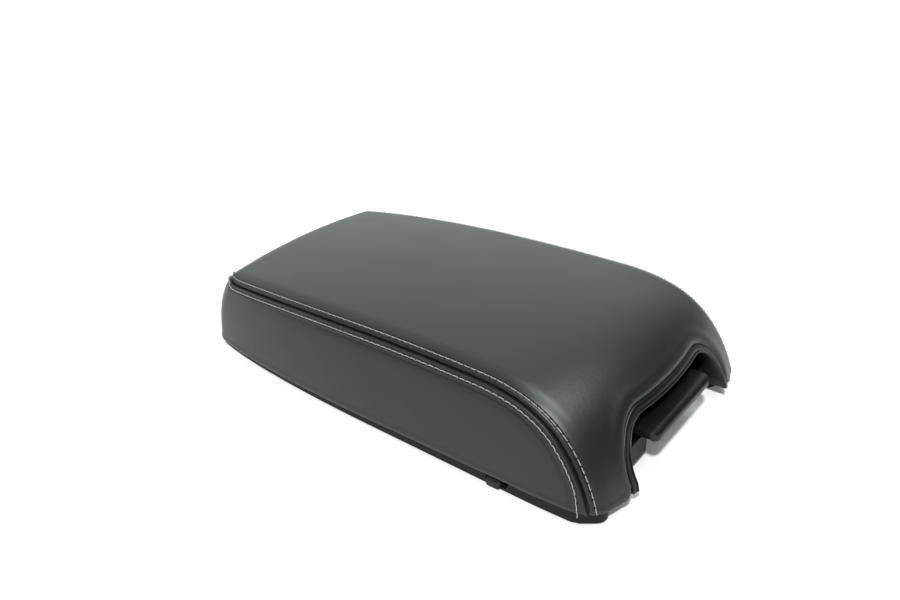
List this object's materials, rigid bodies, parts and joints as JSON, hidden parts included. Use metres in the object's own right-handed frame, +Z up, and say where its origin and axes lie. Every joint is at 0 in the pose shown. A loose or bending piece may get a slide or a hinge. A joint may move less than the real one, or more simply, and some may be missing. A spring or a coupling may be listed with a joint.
{
  "type": "car armrest",
  "caption": "Padded centre console armrest lid: stitched cover over foam and a moulded shell, hinged at the rear, with a release paddle and sprung hook in a framed notch at the front.",
  "frame": {"origin": "centre of the footprint on the console surface, under the rubber stops and the fixed hinge leaf", "axes": "+X from the hinge towards the latch notch, +Y across the lid, +Z up, away from the console"},
  "size_m": [0.3235, 0.1846, 0.0686],
  "materials": {
    "cover": "matte",
    "foam": "matte",
    "shell": "matte",
    "panel": "matte",
    "bezel": "satin",
    "paddle": "satin",
    "bright_steel": "satin",
    "leaf_steel": "satin",
    "screw_steel": "satin",
    "nylon": "satin",
    "stop_rubber": "matte"
  },
  "bodies": {
    "hinge_base": {"hinge_base_leaf": "leaf_steel", "hinge_pin": "bright_steel", "pin_clip": "screw_steel"},
    "lid": {"cover_top": "cover", "cover_side_left": "cover", "cover_side_right": "cover", "foam_pad": "foam", "upper_shell": "shell", "inner_panel": "panel", "latch_bezel": "bezel", "latch_housing": "shell", "latch_pin": "bright_steel", "latch_spring": "bright_steel", "lid_hinge_leaf": "leaf_steel", "hinge_bushes": "nylon", "panel_screws": "screw_steel", "leaf_screws": "screw_steel", "housing_screws": "screw_steel", "bump_stop_front_left": "stop_rubber", "bump_stop_front_right": "stop_rubber", "bump_stop_rear_left": "stop_rubber", "bump_stop_rear_right": "stop_rubber"},
    "latch": {"latch_paddle": "paddle", "latch_hook": "bright_steel", "hook_rivets": "bright_steel"}
  },
  "joints": [
    {"name": "lid_hinge", "type": "hinge", "parent": "hinge_base", "child": "lid", "pos_m": [-0.15665, 0, 0.005], "axis": [0, -1, 0], "range_deg": [0, 85]},
    {"name": "latch_pivot", "type": "hinge", "parent": "lid", "child": "latch", "pos_m": [0.12535, 0, 0.028], "axis": [0, -1, 0], "range_deg": [0, 15], "stiffness_Nm_per_rad": 0.06, "springref_deg": -20.05, "deforming": ["latch_spring"]}
  ]
}
